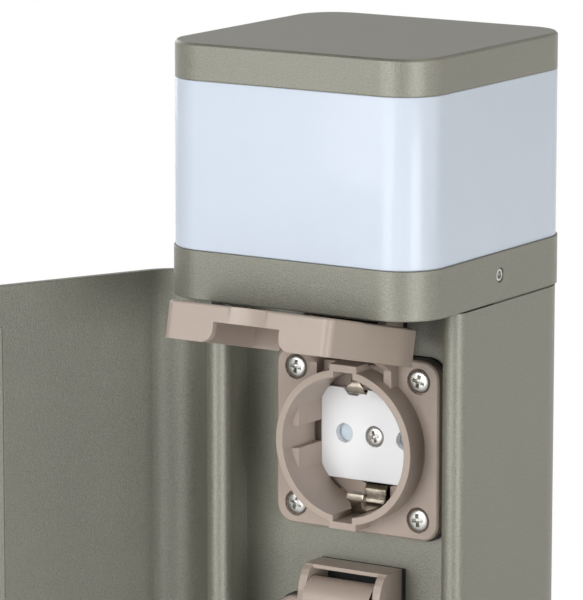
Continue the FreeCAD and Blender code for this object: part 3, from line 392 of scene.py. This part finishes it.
def pan_screw(head_r, head_h, shank_r, length):
    # head's seat is at y 0 and its crown towards -Y; the cross recess narrows as it goes in
    crown = [(across * head_r, -up * head_h) for across, up in CROWN]
    shank = [(head_r, 0), (shank_r, 0), (shank_r, length - 1), (0.5 * shank_r, length), (0, length)]
    arm = RECESS_ARM * head_r
    reach = RECESS_REACH * head_r
    deep = 0.75 * head_h + 0.4
    front = -head_h - 0.2
    flat = block(0, front, 0, reach, arm, deep, RECESS_TAPER)
    upright = block(0, front, 0, arm, reach, deep, RECESS_TAPER)
    return cut_away(turned(crown + shank), flat, upright)


def verts_in(geom):
    return [item for item in geom if isinstance(item, bmesh.types.BMVert)]


def turn(shape, degrees, axis, centre=(0, 0, 0), verts=None):
    matrix = Matrix.Rotation(math.radians(degrees), 3, axis)
    bmesh.ops.rotate(shape, cent=centre, matrix=matrix, verts=verts or shape.verts)


def placed(shape, spots, turns):
    # copies the shape to each spot, each turned about its own axis as driven screws are
    master = shape.verts[:] + shape.edges[:] + shape.faces[:]
    first = shape.verts[:]
    for spot, degrees in zip(spots, turns):
        verts = verts_in(bmesh.ops.duplicate(shape, geom=master)["geom"])
        turn(shape, degrees, "Y", verts=verts)
        bmesh.ops.translate(shape, vec=spot, verts=verts)
    bmesh.ops.delete(shape, geom=first, context="VERTS")
    return shape


nickel_plate = grained("nickel_plate", dark=(0.54, 0.53, 0.50), light=(0.70, 0.69, 0.66), scale=260,
                       rough=(0.3, 0.42), bump=0.04, metallic=1.0, edge=0.0001)
COVER_SCREW_X = 22.0
COVER_SCREW_Z = (15.0, 230.0)
COVER_SEAT_Y = -38.3
cover_spots = [(x, COVER_SEAT_Y, z) for x in (-COVER_SCREW_X, COVER_SCREW_X) for z in COVER_SCREW_Z]
cover_screw = pan_screw(head_r=3.3, head_h=1.7, shank_r=1.8, length=6.3)
cover_screws = placed(cover_screw, cover_spots, turns=(12, 50, 31, 74))
new_piece("cover_pan_screws", cover_screws, nickel_plate, "post", "cover_screws", slot="zinc_steel")

# Socket housings: one satin taupe moulding each, with the flange, the round well and the hood
# over the lid's hinge. A black foam seal lies between the flange and the post's panel.
taupe_plastic = grained("taupe_plastic", dark=(0.378, 0.302, 0.252), light=(0.418, 0.340, 0.286),
                        scale=3200, rough=(0.32, 0.42), bump=0.15, edge=0.00035)
SOCKET_HEIGHTS = {"1": 390.75, "2": 321.55}
for number in SOCKET_HEIGHTS:
    paint(taupe_plastic, "socket_housing_" + number)
    paint(black_rubber, "flange_gasket_" + number)

# Contact carriers: the same plastic behind the white plate, with drawn brass sleeves for the
# plug's pins. A pale blue-grey shutter turns between them and closes the pin holes.
pale_shutter = grained("pale_shutter", dark=(0.60, 0.68, 0.74), light=(0.64, 0.72, 0.77),
                       scale=900, rough=(0.3, 0.4), bump=0.05)
for number in SOCKET_HEIGHTS:
    paint(taupe_plastic, "contact_carrier_" + number)
    paint(brass, "pin_sleeves_" + number)
    paint(pale_shutter, "shutter_" + number)

# Insert plates: white moulded plate with the pin holes, in the bottom of each well. One screw
# in its middle holds it to the carrier.
white_plastic = grained("white_plastic", dark=(0.89, 0.90, 0.915), light=(0.91, 0.92, 0.93),
                        scale=900, rough=(0.3, 0.36), bump=0.05)
for number in SOCKET_HEIGHTS:
    paint(white_plastic, "insert_plate_" + number)

# Earth straps: spring bronze strip, stamped, bent and nickel-plated. Each arm bulges below the
# plate's edge, runs forward in the key slot and ends in a curled nose on a narrow neck.
spring_bronze = grained("plated_bronze", dark=(0.21, 0.18, 0.142), light=(0.36, 0.32, 0.265),
                        scale=420, rough=(0.18, 0.28), bump=0.05, metallic=1.0, edge=0.0002)
STRAP_HALF = 3.3
NOSE_HALF = 2.7
NECK_HALF = 1.5
STRAP_THICK = 0.7
STRAP_EDGE = 0.12
STRAP_BACK = 25.9
STRAP_BEND = [(STRAP_BACK, 13.3, STRAP_HALF), (7.3, 13.3, STRAP_HALF), (5.9, 13.7, STRAP_HALF),
              (5.05, 14.7, STRAP_HALF), (4.85, 16.0, STRAP_HALF), (5.0, 17.3, STRAP_HALF),
              (4.5, 18.5, NOSE_HALF), (3.2, 18.9, NOSE_HALF), (-3.6, 18.9, NOSE_HALF),
              (-4.8, 18.0, NECK_HALF), (-5.3, 16.4, NECK_HALF), (-5.6, 15.2, NOSE_HALF),
              (-5.4, 14.0, NOSE_HALF), (-4.4, 13.6, NOSE_HALF), (-3.7, 14.4, NOSE_HALF)]


def earth_strap(centre_z):
    # both arms are one line of points, drawn sideways into a band of sheet
    shape = bmesh.new()
    route = [(y, -z, half) for y, z, half in reversed(STRAP_BEND)] + STRAP_BEND
    points = [shape.verts.new((-half, y, centre_z + z)) for y, z, half in route]
    lines = [shape.edges.new(pair) for pair in zip(points, points[1:])]
    band = verts_in(bmesh.ops.extrude_edge_only(shape, edges=lines)["geom"])
    bmesh.ops.scale(shape, vec=(-1, 1, 1), verts=band)
    bmesh.ops.recalc_face_normals(shape, faces=shape.faces)
    return shape


for number, centre_z in SOCKET_HEIGHTS.items():
    strap = new_piece("bent_strap_" + number, earth_strap(centre_z), spring_bronze, "post",
                      "earth_strap_" + number, slot="nickel")
    sheet = strap.modifiers.new("sheet", "SOLIDIFY")
    sheet.thickness = STRAP_THICK * MM
    sheet.offset = 0
    rolled = strap.modifiers.new("rolled", "BEVEL")
    rolled.width = STRAP_EDGE * MM
    rolled.segments = 2
    bends = strap.modifiers.new("bends", "SUBSURF")
    bends.levels = 2
    bends.render_levels = 2

# Socket screws: one small screw holds each insert, four larger ones hold each flange. They are
# pan heads with a cross recess, bright plated, sunk a little in round seats.
FLANGE_SEAT_Y = -3.72
FLANGE_SCREW_X = 19.15
FLANGE_SCREW_Z = 18.8
PLATE_SEAT_Y = 5.45
for number, centre_z in SOCKET_HEIGHTS.items():
    spots = [(x, FLANGE_SEAT_Y, centre_z + z) for x in (-FLANGE_SCREW_X, FLANGE_SCREW_X)
             for z in (-FLANGE_SCREW_Z, FLANGE_SCREW_Z)]
    flange_screw = pan_screw(head_r=3.2, head_h=1.5, shank_r=1.6, length=8.0)
    flange_set = placed(flange_screw, spots, turns=(22, 8, -6, 14))
    new_piece("flange_pan_screws_" + number, flange_set, nickel_plate, "post",
              "flange_screws_" + number, slot="zinc_steel")
    plate_screw = pan_screw(head_r=2.8, head_h=1.4, shank_r=1.2, length=12.5)
    plate_screw = placed(plate_screw, [(0, PLATE_SEAT_Y, centre_z)], turns=(-18,))
    new_piece("plate_pan_screw_" + number, plate_screw, nickel_plate, "post",
              "centre_screw_" + number, slot="zinc_steel")

# Socket lids: one moulding each of the same taupe plastic, a shallow cup with a thumb scoop and a
# finger notch in its free wall. A curled arm hangs it on a plated pin between the hood's cheeks,
# and a black foam ring is glued inside.
LID_AXIS_Y = -9.0
LID_AXIS_Z = 26.45
LID_HALF = 25.2
LID_NEAR = 9.15
LID_FAR = 51.95
LID_FACE_Y = -16.0
LID_EDGE_Y = -6.0
LID_SKIN = 1.4
LID_WALL = 1.8
LID_CORNER = 2.5
LID_ROUND = 0.7
SCOOP_R = 19.4
SCOOP_DEEP = 1.0
MOUTH_HALF = 15.0
NOTCH_HALF = 10.0
NOTCH_DEEP = 5.5
NOTCH_R = 3.5
NOTCH_THROUGH = 5.0
ARM_HALF = 10.25
EAR_WIDTH = 2.0
EAR_R = 3.0
EAR_INSET = 0.1
CURL_R = 6.2
PIN_BORE = 1.32
LID_TURN = {"1": -103.0, "2": 0.0}
TOUCH = 0.01


def arc(y, z, radius, start, end, steps=12):
    # points (y, z) of an arc, its angles in degrees from +Y towards +Z
    angles = [math.radians(start + (end - start) * step / steps) for step in range(steps + 1)]
    return [(y + radius * math.cos(a), z + radius * math.sin(a)) for a in angles]


def drawn(outline, vec):
    # a flat outline of points, drawn out along vec into a solid
    shape = bmesh.new()
    face = shape.faces.new([shape.verts.new(point) for point in outline])
    new = bmesh.ops.extrude_face_region(shape, geom=[face], use_keep_orig=True)["geom"]
    bmesh.ops.translate(shape, vec=vec, verts=verts_in(new))
    bmesh.ops.recalc_face_normals(shape, faces=shape.faces)
    return shape


def cylinder(radius, depth, place, along):
    # a round bar centred on the place, along X or Y
    shape = bmesh.new()
    bmesh.ops.create_cone(shape, cap_ends=True, segments=96, radius1=radius, radius2=radius,
                          depth=depth)
    turn(shape, 90, "Y" if along == "X" else "X")
    bmesh.ops.translate(shape, vec=place, verts=shape.verts)
    return shape


def rounded(shape, edges, radius, segments):
    bmesh.ops.bevel(shape, geom=edges, offset=radius, segments=segments, profile=0.5,
                    affect="EDGES", material=-1)


def round_tray(half, corner, y, depth, low, top):
    # a block whose two lower corners are round
    shape = block(0, y, (low + top) / 2, half, (top - low) / 2, depth)
    lower = [edge for edge in shape.edges if abs(edge.verts[0].co.x - edge.verts[1].co.x) < TOUCH
             and max(vert.co.z for vert in edge.verts) < low + TOUCH]
    rounded(shape, lower, corner, segments=8)
    return shape


def lid_cup():
    # a round tray hollowed from behind, with the scoop, the curl's mouth and the notch cut out
    low = LID_AXIS_Z - LID_FAR
    top = LID_AXIS_Z - LID_NEAR
    depth = LID_EDGE_Y - LID_FACE_Y
    cup = round_tray(LID_HALF, LID_CORNER, LID_FACE_Y, depth, low, top)
    rim = [edge for edge in cup.edges if max(vert.co.y for vert in edge.verts) < LID_FACE_Y + TOUCH]
    rounded(cup, rim, LID_ROUND, segments=3)
    inside_y = LID_FACE_Y + LID_SKIN
    scoop_place = (0, LID_FACE_Y, low + SCOOP_DEEP - SCOOP_R)
    room = round_tray(LID_HALF - LID_WALL, LID_CORNER - LID_WALL, inside_y, depth,
                      low + LID_WALL, top - LID_SKIN)
    room = cut_away(room, cylinder(SCOOP_R + LID_WALL, 4 * depth, scoop_place, "Y"))
    scoop = cylinder(SCOOP_R, 4 * depth, scoop_place, "Y")
    mouth = block(0, inside_y, top, MOUTH_HALF, 2 * LID_SKIN, depth)
    flare = arc(0, 0, NOTCH_R, 0, 90, 8)
    side = [(NOTCH_HALF + NOTCH_R - a, LID_EDGE_Y - NOTCH_R + b) for a, b in flare]
    right = [(NOTCH_HALF, LID_EDGE_Y - NOTCH_DEEP)] + side + [(NOTCH_HALF + NOTCH_R, LID_EDGE_Y + 1)]
    outline = [(x, y, low - 1) for x, y in right] + [(-x, y, low - 1) for x, y in reversed(right)]
    notch = drawn(outline, (0, 0, NOTCH_THROUGH))
    return cut_away(cup, scoop, room, mouth, notch)


def lid_arm():
    # sheet that rises from the cup and curls back over the pin, with an ear at each end
    curl_y = LID_FACE_Y + CURL_R
    foot_z = LID_AXIS_Z - LID_NEAR - 1
    outer = [(LID_FACE_Y, foot_z)] + arc(curl_y, LID_AXIS_Z, CURL_R, 180, 90)
    inner = arc(curl_y, LID_AXIS_Z, CURL_R - LID_SKIN, 90, 180) + [(LID_FACE_Y + LID_SKIN, foot_z)]
    arm = drawn([(-ARM_HALF, y, z) for y, z in outer + inner], (2 * ARM_HALF, 0, 0))
    ear_line = arc(curl_y, LID_AXIS_Z, CURL_R - EAR_INSET, 90, 180)
    ear_line += arc(LID_AXIS_Y, LID_AXIS_Z, EAR_R, 180, 450, 24)
    parts = [arm]
    for x in (-ARM_HALF, ARM_HALF - EAR_WIDTH):
        ear = drawn([(x, y, z) for y, z in ear_line], (EAR_WIDTH, 0, 0))
        bore = cylinder(PIN_BORE, 3 * EAR_WIDTH, (x, LID_AXIS_Y, LID_AXIS_Z), "X")
        parts.append(cut_away(ear, bore))
    return parts


def joined(parts):
    # puts separate shapes into one mesh
    whole = bmesh.new()
    for part in parts:
        data = bpy.data.meshes.new("part")
        part.to_mesh(data)
        part.free()
        whole.from_mesh(data)
        bpy.data.meshes.remove(data)
    return whole


for number, centre_z in SOCKET_HEIGHTS.items():
    lid = joined([lid_cup()] + lid_arm())
    turn(lid, LID_TURN[number], "X", centre=(0, LID_AXIS_Y, LID_AXIS_Z))
    bmesh.ops.translate(lid, vec=(0, 0, centre_z), verts=lid.verts)
    lid_piece = new_piece("moulded_lid_" + number, lid, taupe_plastic, "lid_" + number,
                          "lid_" + number, slot="socket_plastic")
    even = lid_piece.modifiers.new("even_shading", "WEIGHTED_NORMAL")
    even.keep_sharp = True
    paint(zinc, "lid_pin_" + number)
    paint(black_rubber, "lid_seal_" + number)

# Collar: cast aluminium tray on the post's top, powder coated. It carries the door's upper
# pivot and the diffuser.
paint(powder_coat, "collar")
paint(zinc, "upper_pivot")

# Grub screws: one in each side of the collar, with a hexagon socket and a rounded point. They
# are plain bright steel and clamp the diffuser's spigot.
GRUB_OUT_X = 40.15
GRUB_IN_X = 38.3
GRUB_R = 1.9
GRUB_PLACE = (0.7, 439.4)
HEXAGON_R = 1.15
HEXAGON_DEEP = 1.3


def grub_screw():
    # its outer end is at y 0 and its point towards +Y
    length = GRUB_OUT_X - GRUB_IN_X
    outer = [(0, 0), (GRUB_R - 0.35, 0), (GRUB_R, 0.3)]
    point = [(GRUB_R, length - 0.3), (GRUB_R - 0.4, length), (0, length)]
    key = bmesh.new()
    bmesh.ops.create_cone(key, cap_ends=True, segments=6, radius1=HEXAGON_R, radius2=HEXAGON_R,
                          depth=2 * HEXAGON_DEEP)
    turn(key, 90, "X")
    return cut_away(turned(outer + point), key)


grubs = []
for side in (-1, 1):
    grub = grub_screw()
    turn(grub, side * 90, "Z")
    bmesh.ops.translate(grub, vec=(side * GRUB_OUT_X, *GRUB_PLACE), verts=grub.verts)
    grubs.append(grub)
new_piece("hexagon_grubs", joined(grubs), nickel_plate, "post", "grub_screws", slot="zinc_steel")

# Diffuser: opal acrylic tube, injection moulded, smooth and glossy outside. Its spigot stands
# in the collar on a flat rubber seal, another seal lies under the cap.
paint(black_rubber, "diffuser_gasket", "cap_gasket")
opal = grained("opal_acrylic", dark=(0.60, 0.66, 0.745), light=(0.62, 0.68, 0.765), scale=60,
               rough=(0.3, 0.36), bump=0.0, coat=0.2)
OPAL_COAT_ROUGHNESS = 0.08
OPAL_GLOSS = 0.2
opal_shader = opal.node_tree.nodes["Principled BSDF"]
opal_shader.inputs["Coat Roughness"].default_value = OPAL_COAT_ROUGHNESS
opal_shader.inputs["Specular IOR Level"].default_value = OPAL_GLOSS
TUBE_HALF = 40.0
TUBE_CORNER = 12.0
TUBE_FOOT = 445.5
TUBE_TOP = 490.25
TUBE_WALL = 3.0
TUBE_EDGE = 0.3
SPIGOT_FOOT = 437.0
SPIGOT_HALF = 38.3
CORNER_STEPS = 24


def rounded_square(half, corner, z):
    # one flat face with round corners
    shape = bmesh.new()
    bmesh.ops.create_grid(shape, x_segments=1, y_segments=1, size=half)
    bmesh.ops.bevel(shape, geom=shape.verts[:], offset=corner, offset_type="OFFSET",
                    segments=CORNER_STEPS, profile=0.5, affect="VERTICES", material=-1)
    bmesh.ops.translate(shape, vec=(0, 0, z), verts=shape.verts)
    return shape


def drawn_up(shape, edges, scale, rise):
    # extrudes a ring of edges, scales the new ring about the post's axis and lifts it
    new = bmesh.ops.extrude_edge_only(shape, edges=edges)["geom"]
    verts = verts_in(new)
    bmesh.ops.scale(shape, vec=(scale, scale, 1), verts=verts)
    bmesh.ops.translate(shape, vec=(0, 0, rise), verts=verts)
    return [item for item in new if isinstance(item, bmesh.types.BMEdge)
            and item.verts[0] in verts and item.verts[1] in verts]


tube = rounded_square(TUBE_HALF, TUBE_CORNER, SPIGOT_FOOT)
foot_ring = tube.edges[:]
bmesh.ops.delete(tube, geom=tube.faces[:], context="FACES_ONLY")
spigot_scale = SPIGOT_HALF / TUBE_HALF
bmesh.ops.scale(tube, vec=(spigot_scale, spigot_scale, 1), verts=tube.verts)
ring = drawn_up(tube, foot_ring, 1.0, TUBE_FOOT - SPIGOT_FOOT)
ring = drawn_up(tube, ring, TUBE_HALF / SPIGOT_HALF, 0)
ring = drawn_up(tube, ring, 1.0, TUBE_TOP - TUBE_FOOT)
bmesh.ops.recalc_face_normals(tube, faces=tube.faces)
tube_piece = new_piece("opal_tube", tube, opal, "post", "diffuser", slot="opal")
wall = tube_piece.modifiers.new("wall", "SOLIDIFY")
wall.thickness = (SPIGOT_HALF + TUBE_WALL - TUBE_HALF) * MM
wall.offset = -1
rims = tube_piece.modifiers.new("rims", "BEVEL")
rims.width = TUBE_EDGE * MM
rims.segments = 2

# Light unit: a white circuit board under the cap with rows of light chips, each a small white
# frame filled with yellow phosphor.
board_white = grained("board_white", dark=(0.80, 0.80, 0.78), light=(0.84, 0.84, 0.82), scale=900,
                      rough=(0.3, 0.4), bump=0.05)
phosphor = grained("phosphor", dark=(0.80, 0.66, 0.22), light=(0.86, 0.73, 0.28), scale=900,
                   rough=(0.25, 0.35), bump=0.05)
paint(board_white, "led_board")
paint(phosphor, "led_chips")

# Cap: flat cast aluminium lid in the post's powder coat. Two tie rods that run down through the
# diffuser hold it from below, so no screw shows on it.
paint(powder_coat, "cap")

# Door: bent steel sheet in the same powder coat, with a rain rib and a notch for the cords. It
# hangs open on two zinc-plated hinge plates that are riveted inside its left flange.
paint(powder_coat, "door")
paint(zinc, "hinge_plates")
DOOR_OPEN = -116.0
HINGE_PLACE = (-36.5, -12.0, 0)
DOOR_LEFT_X = -40.0
RIVET_Y = -24.0
RIVET_HEIGHTS = (253.5, 422.2)
RIVET_HEAD = [(0, -1.0), (1.2, -0.93), (2.1, -0.7), (2.65, -0.3), (2.8, 0)]
RIVET_SHANK = [(1.6, 0), (1.6, 4), (2.1, 4), (1.9, 4.5), (1.1, 4.75), (0, 4.8)]


def swung_open(shape):
    # from the shut door's place to the place that it rests in
    turn(shape, DOOR_OPEN, "Z", centre=HINGE_PLACE)
    return shape


rivets = turned(RIVET_HEAD + RIVET_SHANK)
turn(rivets, -90, "Z")
rivets = placed(rivets, [(DOOR_LEFT_X, RIVET_Y, z) for z in RIVET_HEIGHTS], turns=(0, 0))
new_piece("domed_rivets", swung_open(rivets), zinc, "door", "hinge_rivets", slot="zinc_steel")

# Cam lock: die-cast barrel with a rounded bezel, nickel plated, and a turning plug with the
# key's slot. The ring nut, the flat cam and its screw behind are zinc plated.
paint(zinc, "lock_nut", "lock_cam", "cam_screw")
LOCK_PLACE = (18.0, -40.0, 262.0)
BORE_R = 5.6
BARREL_R = 8.0
BARREL_END = 6.7
PLUG_R = 5.5
PLUG_END = 6.9
KEY_SLOT_HALF = 0.5
KEY_HALF = 3.4
KEY_DEEP = 4.0
DISH_DEPTH = 1.1
DISH_HALF_X = 3.9
DISH_HALF_Z = 4.2
BEZEL = [(BORE_R, -1.0), (6.0, -1.5), (8.6, -1.5), (9.6, -1.15), (10.0, -0.5), (10.0, 0)]
BODY = [(BARREL_R, 0), (BARREL_R, BARREL_END), (BORE_R, BARREL_END), (BORE_R, -1.0)]
barrel = turned(BEZEL + BODY)
plug = turned([(0, -1.15), (4.9, -1.2), (PLUG_R, -0.7), (PLUG_R, PLUG_END), (0, PLUG_END)])
key_slot = block(0, -2, 0, KEY_SLOT_HALF, KEY_HALF, KEY_DEEP + 2)
dish = block(0, -2, 0, DISH_HALF_X, DISH_HALF_Z, DISH_DEPTH)
plug = cut_away(plug, key_slot, dish)
for name, shape, body in (("lock_barrel", barrel, "door"), ("lock_plug", plug, "lock")):
    bmesh.ops.translate(shape, vec=LOCK_PLACE, verts=shape.verts)
    new_piece("turned_" + name, swung_open(shape), nickel_plate, body, name, slot="zinc_steel")
